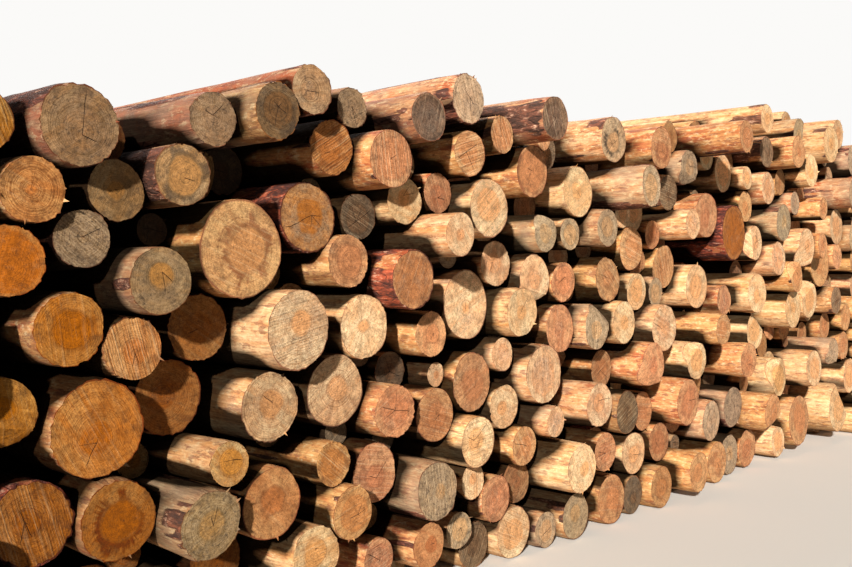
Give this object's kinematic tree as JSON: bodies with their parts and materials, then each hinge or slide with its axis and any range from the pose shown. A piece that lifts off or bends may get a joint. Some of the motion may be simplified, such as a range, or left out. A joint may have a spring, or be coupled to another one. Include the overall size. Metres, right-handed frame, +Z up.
{
  "type": "log heap",
  "caption": "Loose heap of short round logs of mixed thickness, stacked with their sawn ends in one face.",
  "frame": {"origin": "middle of the heap's box, on the ground that the lowest logs lie on", "axes": "+X along the face of sawn ends, to the right as one looks at it; +Y into the heap, along the logs; +Z up"},
  "size_m": [11.1619, 2.8006, 3.0296],
  "materials": {
    "amber_wood": "sawn, resin-stained, bark remains on the side",
    "barked_wood": "sawn, with flaky red-brown bark",
    "dark_wood": "sawn, stained dark brown",
    "fresh_wood": "peeled and freshly sawn, unfinished",
    "weathered_wood": "sawn and weathered grey, unfinished"
  },
  "bodies": {
    "root": {"tier_1_amber_logs": "amber_wood", "tier_1_barked_logs": "barked_wood", "tier_1_dark_logs": "dark_wood", "tier_1_fresh_logs": "fresh_wood", "tier_1_weathered_logs": "weathered_wood", "tier_2_amber_logs": "amber_wood", "tier_2_barked_logs": "barked_wood", "tier_2_dark_logs": "dark_wood", "tier_2_fresh_logs": "fresh_wood", "tier_2_weathered_logs": "weathered_wood", "tier_3_amber_logs": "amber_wood", "tier_3_barked_logs": "barked_wood", "tier_3_dark_logs": "dark_wood", "tier_3_fresh_logs": "fresh_wood", "tier_3_weathered_logs": "weathered_wood", "tier_4_amber_logs": "amber_wood", "tier_4_barked_logs": "barked_wood", "tier_4_dark_logs": "dark_wood", "tier_4_fresh_logs": "fresh_wood", "tier_4_weathered_logs": "weathered_wood", "tier_5_amber_logs": "amber_wood", "tier_5_barked_logs": "barked_wood", "tier_5_dark_logs": "dark_wood", "tier_5_fresh_logs": "fresh_wood", "tier_5_weathered_logs": "weathered_wood", "tier_6_amber_logs": "amber_wood", "tier_6_barked_logs": "barked_wood", "tier_6_dark_logs": "dark_wood", "tier_6_fresh_logs": "fresh_wood", "tier_6_weathered_logs": "weathered_wood", "tier_7_amber_logs": "amber_wood", "tier_7_fresh_logs": "fresh_wood", "tier_7_weathered_logs": "weathered_wood"}
  },
  "joints": []
}
